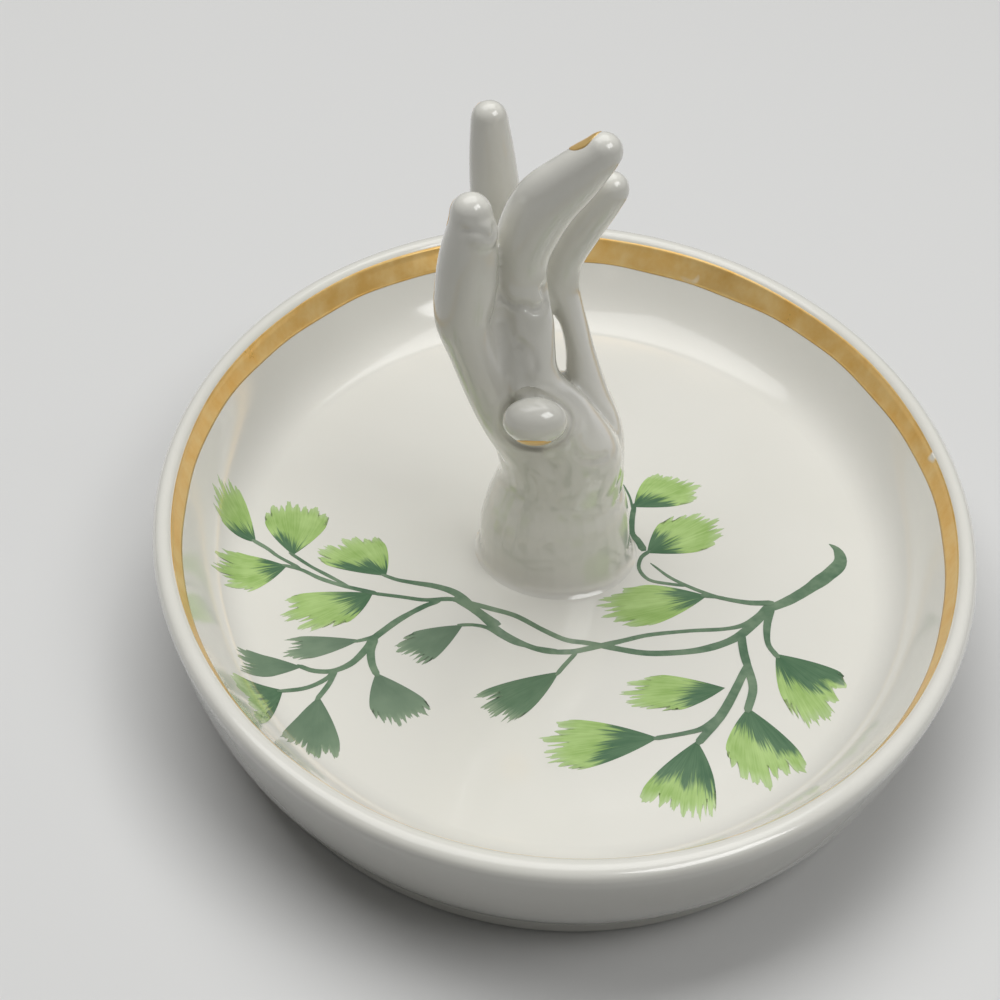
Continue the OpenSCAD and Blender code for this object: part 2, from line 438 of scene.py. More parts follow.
def outwards(thing):
    """Points every face of a closed mesh outwards."""
    work = bmesh.new()
    work.from_mesh(thing.data)
    bmesh.ops.remove_doubles(work, verts=work.verts, dist=1e-7)
    bmesh.ops.recalc_face_normals(work, faces=work.faces)
    work.to_mesh(thing.data)
    work.free()


def make_dish():
    dish = turned("porcelain_dish", dish_profile(), False)
    dress(dish, PORCELAIN)
    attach(dish, "root")
    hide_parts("dish")
    return dish


def make_foot():
    """The foot ring, with a rounded inside and outside edge and a flat that it stands on."""
    edge = FOOT_EDGE
    turns = [math.pi / 2 * k / FOOT_EDGE_STEPS for k in range(FOOT_EDGE_STEPS + 1)]
    outer_corner = [(-LEAN - edge + edge * math.cos(a), edge - edge * math.sin(a)) for a in turns]
    inner_corner = [(-LEAN - FOOT_BAND + edge - edge * math.sin(a), edge - edge * math.cos(a))
                    for a in turns]
    profile = [(-LEAN, FOOT_H)] + outer_corner + inner_corner + [(-LEAN - FOOT_BAND, FOOT_H)]
    foot = turned("foot_of_dish", profile, True)
    dress(foot, PORCELAIN)
    foot.data.materials.append(FOOT)
    for face in foot.data.polygons:
        if face.center.z < GROUND_HEIGHT * MM:
            face.material_index = 1
    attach(foot, "root")
    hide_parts("foot_ring")


# The gold band: how far it climbs the lip, and how deep it is at the back, at the sides and in front
GOLD_CLIMB = 0.6
GOLD_BACK = 3.4
GOLD_SIDE = 2.6
GOLD_FRONT = 1.0
GOLD_LIFT = 0.05
GOLD_SUNK = 0.04
GOLD_STEPS = 8


def gold_edges(turn):
    """Heights of the band's lower and upper edge at a turn, wavering as a brush does."""
    toward = math.sin(turn)
    end = GOLD_BACK if toward > 0 else GOLD_FRONT
    deep = GOLD_SIDE + (end - GOLD_SIDE) * toward * toward
    top = LIP_Z + GOLD_CLIMB
    low = top - deep + 0.09 * math.sin(9 * turn + 1.0) + 0.05 * math.sin(23 * turn)
    return low, top + 0.05 * math.sin(11 * turn + 2.0)


def off_wall(height, lift):
    """Inset and height of a point that stands off the inner wall or the lip by a lift."""
    profile = dish_profile()
    foot_of_wall = FLOOR_STEPS - 1
    climb = profile[foot_of_wall:foot_of_wall + WALL_STEPS + LIP_STEPS // 2]
    for (inset, low), (next_inset, high) in zip(climb, climb[1:]):
        if low <= height <= high:
            share = (height - low) / max(high - low, 1e-6)
            along = Vector((next_inset - inset, high - low)).normalized()
            return (inset + (next_inset - inset) * share - along.y * lift, height + along.x * lift)
    return climb[-1]


def make_gold_band():
    """The gilding on the inner wall, a closed film round the oval."""
    face = [(k / GOLD_STEPS, GOLD_LIFT * math.sin(math.pi * (0.15 + 0.7 * k / GOLD_STEPS)))
            for k in range(GOLD_STEPS + 1)]
    back = [(k / GOLD_STEPS, -GOLD_SUNK) for k in range(GOLD_STEPS, -1, -1)]
    verts = []
    for share, lift in face + back:
        for i in range(AROUND):
            turn = 2 * math.pi * i / AROUND
            low, high = gold_edges(turn)
            inset, height = off_wall(high + (low - high) * share, lift)
            verts.append(on_oval(inset, height, turn))
    band = new_object("gold_band", mesh_from("gold_band", verts,
                                             grid_faces(len(face + back), AROUND, True)))
    outwards(band)
    dress(band, GOLD)
    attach(band, "root")
    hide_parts("rim_gilding")


# The hand: stations hold x, y, height above the floor and two half widths

PALM = (
    (-0.65, 0.0, -1.0, 9.55, 9.5), (-0.7, 0.0, 0.6, 9.6, 9.4), (-1.0, 0.0, 4.5, 9.5, 9.2),
    (-0.95, 0.0, 8.0, 8.95, 8.7), (-0.9, 0.0, 10.8, 8.1, 8.1), (-0.6, -0.1, 13.4, 7.8, 7.8),
    (-1.3, -0.2, 17.0, 7.9, 7.9), (-3.0, 0.2, 20.5, 6.8, 7.7), (-5.3, 0.5, 24.0, 5.0, 7.8),
    (-7.6, 0.8, 28.5, 4.6, 8.0), (-9.6, 1.0, 33.5, 4.6, 8.2), (-10.8, 1.0, 37.5, 4.2, 7.6),
    (-11.2, 1.2, 40.2, 3.2, 5.9))
THENAR = (
    (-0.6, -1.5, 11.0, 6.6, 6.2), (0.3, -2.4, 15.5, 6.4, 5.9), (0.6, -2.9, 19.2, 5.4, 5.7),
    (-1.9, -4.0, 24.6, 4.3, 5.2), (-4.6, -4.5, 28.5, 3.6, 4.8), (-5.7, -4.4, 30.9, 3.6, 4.3),
    (-6.1, -4.1, 33.8, 3.6, 3.9), (-6.4, -3.6, 36.6, 3.6, 3.6), (-6.9, -3.1, 39.5, 3.4, 3.3),
    (-6.9, -2.9, 42.5, 2.9, 3.0))
HEEL = (
    (0.2, 0.5, 10.5, 6.8, 6.8), (1.0, 1.2, 14.5, 6.2, 6.4), (1.6, 2.0, 18.4, 5.0, 5.6),
    (1.8, 3.2, 22.5, 2.9, 4.3), (1.0, 3.6, 27.0, 2.0, 3.6), (-0.1, 3.6, 31.5, 1.7, 3.3),
    (-1.5, 3.4, 35.5, 2.0, 3.1), (-2.6, 3.2, 38.2, 2.6, 3.0), (-3.0, 3.0, 40.5, 2.5, 2.7))
INDEX = (
    (-3.4, -3.0, 15.5, 3.6, 3.6), (-4.7, -3.4, 18.5, 3.7, 3.6), (-7.2, -4.0, 23.0, 3.7, 3.6),
    (-9.1, -4.5, 27.3, 3.7, 3.5), (-11.4, -4.9, 33.4, 3.7, 3.5), (-13.0, -5.4, 38.0, 3.7, 3.45),
    (-13.1, -6.0, 43.0, 3.6, 3.3), (-12.9, -6.6, 47.2, 3.3, 3.1), (-12.7, -7.0, 50.4, 2.8, 2.75),
    (-12.8, -7.1, 52.4, 2.4, 2.4))
MIDDLE = (
    (-6.8, -3.4, 34.5, 2.6, 2.6), (-6.9, -2.8, 40.0, 3.1, 3.0), (-6.85, -3.0, 44.0, 3.0, 3.0),
    (-6.5, -3.4, 47.8, 3.55, 3.15), (-4.75, -3.9, 52.2, 3.7, 3.1), (-1.7, -4.4, 55.9, 3.15, 2.85),
    (0.6, -4.8, 58.6, 2.5, 2.4), (1.3, -4.9, 59.5, 2.25, 2.2))
RING = (
    (-1.2, 3.4, 34.0, 1.7, 2.5), (-2.3, 2.9, 38.5, 2.4, 2.6), (-2.1, 2.6, 41.8, 2.55, 2.55),
    (-0.6, 2.1, 45.4, 2.55, 2.5), (1.4, 1.5, 49.2, 2.4, 2.35), (2.8, 1.1, 51.7, 2.15, 2.1))
LITTLE = (
    (-9.2, 4.6, 32.0, 2.6, 2.6), (-9.1, 5.8, 37.0, 3.3, 3.0), (-9.6, 6.5, 42.0, 3.2, 3.0),
    (-10.4, 6.9, 47.6, 3.0, 2.9), (-11.0, 7.0, 52.8, 2.65, 2.55), (-11.4, 7.1, 56.7, 2.2, 2.15))
THUMB = (
    (-4.0, -4.0, 22.3, 3.6, 2.7), (-4.2, -7.0, 24.6, 3.7, 2.75), (-4.4, -10.0, 26.8, 3.8, 2.8),
    (-4.5, -12.3, 28.6, 3.75, 2.75))
# Pads of flesh: middle, half sizes, and lean in radians
PADS = (
    ((-12.0, -7.8, 50.6), (2.3, 2.2, 2.7), -0.35),
    ((-4.2, 2.0, 36.8), (2.8, 1.9, 3.0), 0.5))
PALM_CROWN = 1.4
THUMB_CAP = 0.72
HAND_STEPS = 6
SIDES = 32
TIP_STEPS = 6
PAD_ROWS = 12
HAND_GRAIN = 0.28
HAND_SMOOTHING = 10


def ring_of(centre, across, along, a, b):
    return [centre + across * a * math.cos(2 * math.pi * i / SIDES)
            + along * b * math.sin(2 * math.pi * i / SIDES) for i in range(SIDES)]


def capped(rings, start, end):
    """Points and faces of a closed skin over rings, with a point at each end."""
    verts = [p for ring in rings for p in ring] + [start, end]
    faces = grid_faces(len(rings), SIDES)
    first, last = len(verts) - 2, len(verts) - 1
    top = (len(rings) - 1) * SIDES
    for i in range(SIDES):
        j = (i + 1) % SIDES
        faces.append((first, j, i))
        faces.append((last, top + i, top + j))
    return verts, faces


def palm_form(stations):
    """Wrist, palm or a mass of flesh in it: level rings along its stations, rounded off on top."""
    run = smooth_run(stations, HAND_STEPS)
    rings = [ring_of(Vector((x, y, z + FLOOR_Z)), Vector((1, 0, 0)), Vector((0, 1, 0)), a, b)
             for x, y, z, a, b in run]
    up = Vector((0, 0, FLOOR_Z))
    return capped(rings, Vector(run[0][:3]) + up, Vector(run[-1][:3]) + up + Vector((0, 0, PALM_CROWN)))


def digit_form(stations, cap=1.0):
    """A finger: rings along its stations, and a round tip."""
    side = Vector((0, 1, 0))
    run = smooth_run(stations, HAND_STEPS)
    centres = [Vector((x, y, z + FLOOR_Z)) for x, y, z, _, _ in run]
    sizes = [(a, b) for _, _, _, a, b in run]
    heading = (centres[-1] - centres[-2]).normalized()
    tip, (a, b) = centres[-1], sizes[-1]
    for k in range(1, TIP_STEPS):
        turn = math.pi / 2 * k / TIP_STEPS
        centres.append(tip + heading * a * cap * math.sin(turn))
        sizes.append((a * math.cos(turn), b * math.cos(turn)))
    rings = []
    for i, centre in enumerate(centres):
        ahead = (centres[min(i + 1, len(centres) - 1)] - centres[max(i - 1, 0)]).normalized()
        across = side.cross(ahead).normalized()
        rings.append(ring_of(centre, across, ahead.cross(across), *sizes[i]))
    return capped(rings, centres[0], tip + heading * a * cap)


def pad_form(centre, radii, lean):
    """A soft pad of flesh, an egg shape leaning in the plane of the fingers."""
    turn = Matrix.Rotation(lean, 3, "Y")
    middle = Vector(centre) + Vector((0, 0, FLOOR_Z))
    rings = []
    for r in range(1, PAD_ROWS):
        tilt = math.pi * r / PAD_ROWS
        flat = [Vector((radii[0] * math.sin(tilt) * math.cos(2 * math.pi * i / SIDES),
                        radii[1] * math.sin(tilt) * math.sin(2 * math.pi * i / SIDES),
                        -radii[2] * math.cos(tilt))) for i in range(SIDES)]
        rings.append([turn @ v + middle for v in flat])
    pole = Vector((0, 0, radii[2]))
    return capped(rings, turn @ -pole + middle, turn @ pole + middle)


def joined(name, forms):
    verts, faces = [], []
    for more_verts, more_faces in forms:
        base = len(verts)
        verts += more_verts
        faces += [tuple(base + i for i in face) for face in more_faces]
    thing = new_object(name, mesh_from(name, verts, faces))
    outwards(thing)
    return thing


SLIP_RISE = 2.2
SLIP_REACH = 0.9
THUMB_AXIS = (Vector(THUMB[-1][:3]) - Vector(THUMB[0][:3])).normalized()
THUMB_END = Vector(THUMB[-1][:3]) + Vector((0, 0, FLOOR_Z))
THUMB_HALF = (THUMB[-1][3], THUMB[-1][4])

# Round the thumb's tip, a groove and a swell: depth, then place and width as shares of its size
THUMB_GROOVE = (0.55, 1.08, 0.10)
THUMB_SWELL = (0.22, 1.36, 0.14)
THUMB_REACH = -9.0
THUMB_SIDE = -4.0

# The fold across the wrist: height, rise towards its end, depth, half width, and spread in radians
WRIST_FOLD_AT = 10.3
WRIST_FOLD_RISE = 0.12
WRIST_FOLD_END = 7.0
WRIST_FOLD_DEPTH = 0.55
WRIST_FOLD_WIDE = 0.55
WRIST_FOLD_SPREAD = 0.5
WRIST_MIDDLE = -0.7


def bell(x, wide):
    return math.exp(-(x / wide) ** 2)


def tooled(p):
    """Moves one point of the hand, in millimetres: slip at the wrist, thumb groove, wrist fold."""
    rise = p.z - FLOOR_Z
    middle = Vector((WRIST_MIDDLE, 0.0, p.z))
    out = (p - middle).normalized()
    if rise < SLIP_RISE:
        left = 1 - max(rise, 0.0) / SLIP_RISE
        p = p + out * SLIP_REACH * (1 - math.sqrt(1 - left * left) + max(-rise, 0.0))
    off = p - THUMB_END
    along = off.dot(THUMB_AXIS)
    across = off - THUMB_AXIS * along
    spread = math.hypot(across.x / THUMB_HALF[0], across.cross(Vector((1, 0, 0))).length / THUMB_HALF[1])
    if along > THUMB_REACH and p.y < THUMB_SIDE:
        for sign, (deep, at, wide) in ((-1, THUMB_GROOVE), (1, THUMB_SWELL)):
            p = p + THUMB_AXIS * sign * deep * bell(spread - at, wide)
    off_fold = rise - WRIST_FOLD_AT + WRIST_FOLD_RISE * (p.x - WRIST_FOLD_END)
    fold = bell(off_fold, WRIST_FOLD_WIDE) * bell(math.atan2(out.y, out.x), WRIST_FOLD_SPREAD)
    return p - out * WRIST_FOLD_DEPTH * fold


# Folds in the palm side: the pixels that each passes, then its depth and half width
# in millimetres
FOLDS = (
    (((498, 293), (509, 305), (525, 307), (537, 310), (547, 301), (544, 289)), 0.55, 0.6),
    (((463, 231), (479, 233), (492, 238), (495, 227)), 0.3, 0.5),
    (((504, 322), (510, 345), (519, 370), (528, 390)), 0.9, 2.0),
    (((571, 442), (576, 456), (590, 461), (606, 457)), 0.25, 0.5),
    (((520, 345), (531, 352), (537, 368)), 0.25, 0.6),
)


FOLD_STEPS = 5
FOLD_REACH = 2.5


def fold_in(hand):
    """Presses each fold into the skin, straight in."""
    skin = skin_of(hand)
    places = [vertex.co / MM for vertex in hand.data.vertices]
    inwards = [-vertex.normal for vertex in hand.data.vertices]
    pressed = {}
    for pixels, depth, wide in FOLDS:
        stations = [list(under_pixel(skin, *pixel)) for pixel in pixels]
        path = [Vector(place) for place in smooth_run(stations, FOLD_STEPS)]
        middle = sum(path, Vector()) / len(path)
        far = max((place - middle).length for place in path) + FOLD_REACH * wide
        for i, place in enumerate(places):
            if (place - middle).length < far:
                off = min((place - spot).length for spot in path)
                pressed[i] = pressed.get(i, 0.0) + depth * bell(off, wide)
    for i, depth in pressed.items():
        hand.data.vertices[i].co = (places[i] + inwards[i] * depth) * MM


def make_hand():
    """Palm and fingers melted into one smooth form, as one casting."""
    forms = [palm_form(PALM), palm_form(THENAR), palm_form(HEEL)]
    forms += [digit_form(INDEX), digit_form(MIDDLE), digit_form(RING), digit_form(LITTLE)]
    forms += [pad_form(*pad) for pad in PADS]
    hand = joined("hand", forms)
    melt = hand.modifiers.new("melt", "REMESH")
    melt.mode = "VOXEL"
    melt.voxel_size = HAND_GRAIN * MM
    soften = hand.modifiers.new("soften", "SMOOTH")
    soften.factor = 0.5
    soften.iterations = HAND_SMOOTHING
    settle(hand)
    for vertex in hand.data.vertices:
        vertex.co = tooled(vertex.co / MM) * MM
    fold_in(hand)
    dress(hand, PORCELAIN)
    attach(hand, "root")
    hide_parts("palm", "index_finger", "middle_finger", "ring_finger", "little_finger",
                "slip_fillet")
    return hand


def make_thumb():
    thumb = joined("thumb_tip", [digit_form(THUMB, THUMB_CAP)])
    dress(thumb, PORCELAIN)
    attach(thumb, "root")
    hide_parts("thumb")
    return thumb


# Gilded nails: thin ovals laid on the back of each finger's end

NAIL_LIFT = 0.04
NAIL_SUNK = 0.12
NAIL_STEPS = (12, 10)
NAIL_FROM = 6.0

# Name, middle (with its height above the floor), outwards, along, half width and half length
NAILS = (
    ("middle_nail", (-0.4, -4.3, 60.0), (-0.62, 0.38, 0.69), (0.76, 0, 0.64), 1.5, 2.0),
    ("index_nail", (-15.0, -5.6, 51.8), (-0.86, 0.48, 0.2), (0.2, 0, 1), 1.5, 1.9),
    ("ring_nail", (0.7, 1.9, 52.2), (-0.7, 0.32, 0.63), (0.67, 0, 0.74), 1.3, 1.8),
    ("little_nail", (-12.6, 8.6, 56.4), (-0.62, 0.76, 0.16), (0.1, 0, 1), 1.35, 1.9))


def lay_nail(name, skin, centre, outward, along, wide, long):
    """An oval film laid on a skin from outside, in millimetres."""
    steps_along, steps_across = NAIL_STEPS
    outward, along = Vector(outward).normalized(), Vector(along).normalized()
    across = outward.cross(along).normalized()
    along = across.cross(outward)
    top, spots = [], {}
    for r in range(steps_along + 1):
        for c in range(steps_across + 1):
            u, v = 2 * r / steps_along - 1, 2 * c / steps_across - 1
            place = (Vector(centre) + along * long * u * math.sqrt(1 - 0.5 * v * v)
                     + across * wide * v * math.sqrt(1 - 0.5 * u * u))
            start = (place + outward * NAIL_FROM) * MM
            hit, normal, _, _ = skin.ray_cast(start, -outward)
            if hit is None:
                hit, normal, _, _ = skin.find_nearest(place * MM)
            spots[r, c] = len(top)
            top.append((hit / MM, normal))
    count = len(top)
    verts = [hit + normal * NAIL_LIFT for hit, normal in top]
    verts += [hit - normal * NAIL_SUNK for hit, normal in top]
    faces = []
    for r in range(steps_along):
        for c in range(steps_across):
            a, b, d, e = spots[r, c], spots[r, c + 1], spots[r + 1, c + 1], spots[r + 1, c]
            faces.append((a, b, d, e))
            faces.append((a + count, e + count, d + count, b + count))
    rim = ([spots[0, c] for c in range(steps_across)]
           + [spots[r, steps_across] for r in range(steps_along)]
           + [spots[steps_along, c] for c in range(steps_across, 0, -1)]
           + [spots[r, 0] for r in range(steps_along, 0, -1)])
    for i, a in enumerate(rim):
        b = rim[(i + 1) % len(rim)]
        faces.append((a, a + count, b + count, b))
    nail = new_object(name, mesh_from(name, verts, faces))
    outwards(nail)
    dress(nail, GOLD)
    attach(nail, "root")


def make_nails(hand, thumb):
    skin, thumb_skin = skin_of(hand), skin_of(thumb)
    for name, (x, y, rise), *rest in NAILS:
        lay_nail(name, skin, (x, y, rise + FLOOR_Z), *rest)
    lay_nail("thumb_nail", thumb_skin, THUMB_END + Vector((0, -1.0, -1.9)), (0, -0.38, -0.92),
             (0, -0.92, 0.38), 2.0, 1.7)


# The painted spray. Each leaf is placed by pixels: where it joins its stem, one corner
# of its outer edge, its furthest point and the other corner; then how far the dark green runs up
# each side, how dusty it is, and how many strokes its edge has

LEAVES = (
    ((725, 688), (647, 674), (627, 698), (668, 713), 0.35, 0.70, 0.0, 9),
    ((658, 738), (570, 720), (547, 752), (577, 770), 0.50, 0.78, 0.0, 9),
    ((697, 741), (638, 796), (692, 818), (715, 802), 0.66, 0.85, 0.0, 9),
    ((748, 708), (725, 760), (768, 786), (807, 762), 0.30, 0.80, 0.0, 7),
    ((776, 654), (790, 711), (817, 721), (856, 680), 0.28, 0.95, 0.0, 7),
    ((707, 596), (636, 585), (597, 612), (648, 626), 0.50, 0.32, 0.0, 7),
    ((647, 553), (666, 517), (714, 519), (709, 549), 0.50, 0.42, 0.0, 10),
    ((634, 507), (649, 477), (691, 481), (690, 503), 0.30, 0.62, 0.0, 8),
    ((256, 542), (213, 507), (217, 480), (240, 490), 0.60, 0.28, 0.0, 8),
    ((293, 555), (263, 516), (293, 503), (332, 517), 0.48, 0.24, 0.0, 8),
    ((287, 566), (228, 548), (214, 567), (247, 592), 0.36, 0.42, 0.0, 9),
    ((386, 576), (314, 560), (342, 543), (380, 537), 0.68, 0.30, 0.0, 8),
    ((373, 593), (287, 596), (292, 622), (338, 628), 0.38, 0.55, 0.0, 8),
    ((360, 640), (287, 637), (288, 652), (304, 660), 1.30, 1.30, 1.0, 7),
    ((302, 667), (241, 647), (239, 663), (247, 673), 1.30, 1.30, 0.8, 6),
    ((283, 690), (221, 664), (228, 695), (250, 709), 0.62, 0.80, 0.1, 6),
    ((319, 697), (283, 733), (305, 751), (341, 753), 1.30, 1.30, 0.8, 8),
    ((376, 673), (373, 720), (405, 721), (436, 709), 1.30, 1.30, 1.0, 9),
    ((463, 625), (398, 637), (406, 656), (423, 668), 1.30, 1.30, 0.9, 8),
    ((559, 672), (478, 693), (497, 713), (518, 720), 1.60, 1.60, 0.3, 9),
)

# Stems: the pixels that each passes, and its widths in millimetres, spread evenly
STEMS = (
    (((829, 544), (838, 551), (839, 565), (816, 584), (790, 600), (768, 609)),
     (0.2, 1.6, 2.1, 1.7, 1.25, 1.3)),
    (((771, 606), (757, 620), (742, 634), (725, 643), (700, 650), (671, 653), (643, 653),
      (613, 648), (587, 643), (566, 640), (543, 630), (516, 616), (492, 609), (470, 603)),
     (1.5, 1.2, 1.1, 0.95, 0.8, 0.85, 0.8)),
    (((462, 602), (450, 599), (425, 600), (402, 597), (378, 594)), (0.9, 0.65, 0.6)),
    (((764, 611), (746, 624), (725, 629), (689, 631), (649, 635), (622, 641), (582, 650),
      (567, 652), (545, 651), (521, 643), (495, 628), (478, 612), (458, 600)),
     (0.9, 0.65, 0.7, 0.9, 1.0, 0.9, 1.3, 0.9)),
    (((500, 625), (478, 611), (463, 598), (451, 591), (434, 586), (415, 583), (398, 580), (386, 576)),
     (0.9, 1.2, 0.75, 0.55)),
    (((560, 651), (521, 645), (503, 637), (488, 628), (474, 625), (463, 625)), (0.5, 0.7, 0.6, 0.55)),
    (((378, 594), (361, 590), (340, 585), (319, 578), (302, 570), (287, 566)), (0.75, 0.65, 0.55)),
    (((350, 588), (340, 582), (325, 574), (310, 566), (293, 555)), (0.55, 0.5)),
    (((300, 568), (279, 557), (268, 549), (256, 542)), (0.5, 0.6)),
    (((440, 601), (425, 606), (402, 618), (386, 629), (372, 640), (367, 648), (352, 663),
      (333, 671), (314, 671), (302, 667)), (0.7, 0.95, 0.95, 0.8, 0.65)),
    (((386, 629), (376, 636), (367, 639), (358, 641)), (0.8, 0.5)),
    (((376, 638), (371, 651), (372, 664), (376, 673)), (0.9, 1.0, 0.8)),
    (((333, 671), (329, 677), (317, 684), (302, 689), (283, 691)), (0.7, 0.55)),
    (((337, 669), (329, 684), (319, 697)), (0.6, 0.75)),
    (((577, 652), (564, 666), (559, 672)), (0.6, 0.55)),
    (((774, 603), (750, 603), (725, 599), (710, 595), (687, 586), (669, 577), (654, 566)),
     (1.0, 0.7, 0.5, 0.15)),
    (((687, 586), (669, 584), (649, 580), (639, 569), (641, 558), (647, 553)), (0.5, 0.55, 0.6)),
    (((729, 599), (716, 597), (706, 596)), (0.45, 0.75, 0.9)),
    (((644, 551), (638, 541), (632, 534), (632, 520), (634, 507)), (1.2, 0.9, 0.5)),
    (((633, 511), (630, 498), (625, 488)), (0.4, 0.2)),
    (((771, 608), (767, 626), (768, 644), (776, 655)), (1.1, 0.8, 0.8)),
    (((741, 634), (744, 654), (750, 674), (753, 690), (748, 709)), (1.1, 1.15, 0.9)),
    (((748, 664), (733, 695), (720, 717), (700, 741)), (1.0, 1.2, 0.9)),
    (((720, 716), (704, 728), (687, 733), (659, 738)), (0.9, 0.7, 0.7)),
)


def leaf_green():
    """Painted leaves: dark at the stem, light towards the edge, laid on in fine strokes."""
    f = Finish("leaf_green")
    reach, side = f.written("reach"), f.written("side")
    dark, dusty = f.written("dark_to"), f.written("dusty")
    seed = f.written("which")
    stroke_at = f.triple(side * 16.0, reach * 1.6, seed * 3.7)
    stroke = f.noise(1.0, 3.0, 0.65, stroke_at)
    fine = f.noise(1.0, 2.0, 0.6, f.triple(side * 42.0, reach * 2.5, seed * 5.1))
    blot = f.noise(1.0, 2.0, 0.5, f.triple(side * 2.5, reach * 3.0, seed * 2.3))
    edge = dark + (stroke - 0.5) * 0.75 + (fine - 0.5) * 0.25
    in_dark = f.between(edge - reach, -0.05, 0.10)
    light = f.mix(f.between(blot * 0.6 + fine * 0.4, 0.35, 0.65),
                  colour(0.30, 0.47, 0.13), colour(0.46, 0.64, 0.24))
    deep = f.mix(f.between(fine * 0.5 + blot * 0.5, 0.35, 0.65),
                 colour(0.060, 0.145, 0.072), colour(0.115, 0.215, 0.115))
    dust = f.mix(f.between(reach * 0.6 + blot * 0.5, 0.3, 0.95),
                 colour(0.135, 0.205, 0.135), colour(0.235, 0.325, 0.215))
    fresh = f.mix(in_dark, light, deep)
    tone = f.mix(dusty, fresh, dust)
    ends = f.between(reach + (fine - 0.5) * 0.25, 0.80, 1.05, 0.0, 0.55)
    tone = f.mix(ends * (1 - dusty * 0.6), tone, colour(0.62, 0.70, 0.50))
    return f.surface(Base_Color=tone, Roughness=f.between(blot, 0.3, 0.7, 0.18, 0.26),
                     Coat_Weight=1.0, Coat_Roughness=0.05, Normal=f.bump(fine, 0.00001, 0.3))


def stem_green():
    f = Finish("stem_green")
    patch = f.noise(140.0, 3.0, 0.6)
    fine = f.noise(900.0, 2.0)
    tone = f.mix(f.between(patch * 0.7 + fine * 0.3, 0.36, 0.62),
                 colour(0.085, 0.165, 0.095), colour(0.20, 0.29, 0.185))
    return f.surface(Base_Color=tone, Roughness=f.between(patch, 0.3, 0.7, 0.18, 0.26),
                     Coat_Weight=1.0, Coat_Roughness=0.05, Normal=f.bump(fine, 0.00001, 0.3))


PAINT_LIFT = 0.03
PAINT_THICK = 0.08


def leaf_growth(material):
    """Fans a fine grid out between each leaf's stem and its outer edge, with a ragged edge."""
    g = Growth("leaf_growth", (("Dish", "Object"), ("Lift", "Float"), ("Fullness", "Float"),
                               ("Belly", "Float"), ("Ragged", "Float"),
                               ("Seed", "Int"), ("Points across", "Int"), ("Points out", "Int")))
    grid = g.node("GeometryNodeMeshGrid", None,
                  {"Size X": 1.0, "Size Y": 1.0, "Vertices X": g.given("Points across"),
                   "Vertices Y": g.given("Points out")})
    flat = g.node("ShaderNodeSeparateXYZ", None, {0: g.place()})
    side = flat + 0.5
    reach = Value(g, flat.socket.node.outputs[1]) + 0.5
    grid = g.store(g.store(grid, "side", side), "reach", reach)
    leaves = g.node("GeometryNodeInstanceOnPoints", None,
                    {"Points": g.given("Geometry"), "Instance": grid})
    leaves = g.node("GeometryNodeRealizeInstances", None, {"Geometry": leaves})
    side, reach = g.carried("side"), g.carried("reach")
    first = g.carried("first", "FLOAT_VECTOR")
    furthest = g.carried("furthest", "FLOAT_VECTOR")
    second = g.carried("second", "FLOAT_VECTOR")
    root = g.carried("root", "FLOAT_VECTOR")
    outer = g.vector("ADD", g.scaled(first, (1 - side) * (1 - 2 * side)),
                     g.vector("ADD", g.scaled(furthest, 4 * side * (1 - side)),
                              g.scaled(second, side * (2 * side - 1))))
    stroke = side * g.carried("strokes")
    number = stroke.maths("FLOOR", stroke, 0.0)
    ids = number + 40 * g.carried("which")
    whim = g.node("FunctionNodeRandomValue", {"data_type": "FLOAT"},
                  {2: 0.0, 3: 1.0, 7: ids, 8: g.given("Seed")}, 1)
    tip = (stroke - number - 0.5) * 2.0
    notch = tip.maths("ABSOLUTE", tip, 0.0) ** 1.25
    fray = g.noise(1.0, 2.0, 0.7, g.triple(side * 30.0, g.carried("which"), 0.0))
    cut = g.given("Ragged") * (notch * (0.25 + 0.65 * whim) + 0.65 * whim + (fray - 0.5) * 1.6)
    grown = reach * (g.given("Fullness") - cut * reach ** 4.0)
    belly = g.given("Belly") * reach * (1 - reach) * (2 * side - 1)
    across = g.vector("SUBTRACT", second, first)
    place = g.vector("ADD", g.vector("ADD", root, g.scaled(outer, grown)), g.scaled(across, belly))
    leaves = g.node("GeometryNodeSetPosition", None, {"Geometry": leaves, "Position": place})
    leaves = g.laid_on(leaves, g.given("Dish"), g.given("Lift"))
    dark = g.carried("dark_first") * (1 - side) ** 1.4 + g.carried("dark_second") * side ** 1.4
    leaves = g.store(leaves, "dark_to", dark)
    g.close(leaves, material)
    return g


def stem_growth(material):
    """Sweeps a flat stroke of paint along each path, and lays each a hair above the last."""
    g = Growth("stem_growth", (("Dish", "Object"), ("Lift", "Float"), ("Step", "Float"),
                               ("Waver", "Float")))
    path = g.node("GeometryNodeResampleCurve", {"mode": "LENGTH"},
                  {"Curve": g.given("Geometry"), "Length": g.given("Step")})
    path = g.node("GeometryNodeSetCurveNormal", {"mode": "Z_UP"}, {"Curve": path})
    path = g.store(path, "order", g.node("GeometryNodeCurveOfPoint"))
    stroke = g.node("GeometryNodeCurvePrimitiveLine", None,
                    {"Start": (-0.5, 0.0, 0.0), "End": (0.5, 0.0, 0.0)})
    stroke = g.node("GeometryNodeResampleCurve", {"mode": "COUNT"}, {"Curve": stroke, "Count": 4})
    waver = (g.noise(260.0, 2.0) - 0.5) * g.given("Waver") + 1.0
    wide = g.node("GeometryNodeInputRadius") * waver
    stems = g.node("GeometryNodeCurveToMesh", None,
                   {"Curve": path, "Profile Curve": stroke, "Scale": wide})
    lift = g.given("Lift") * (g.carried("order") * 0.12 + 1.0)
    stems = g.laid_on(stems, g.given("Dish"), lift)
    g.close(stems, material)
    return g


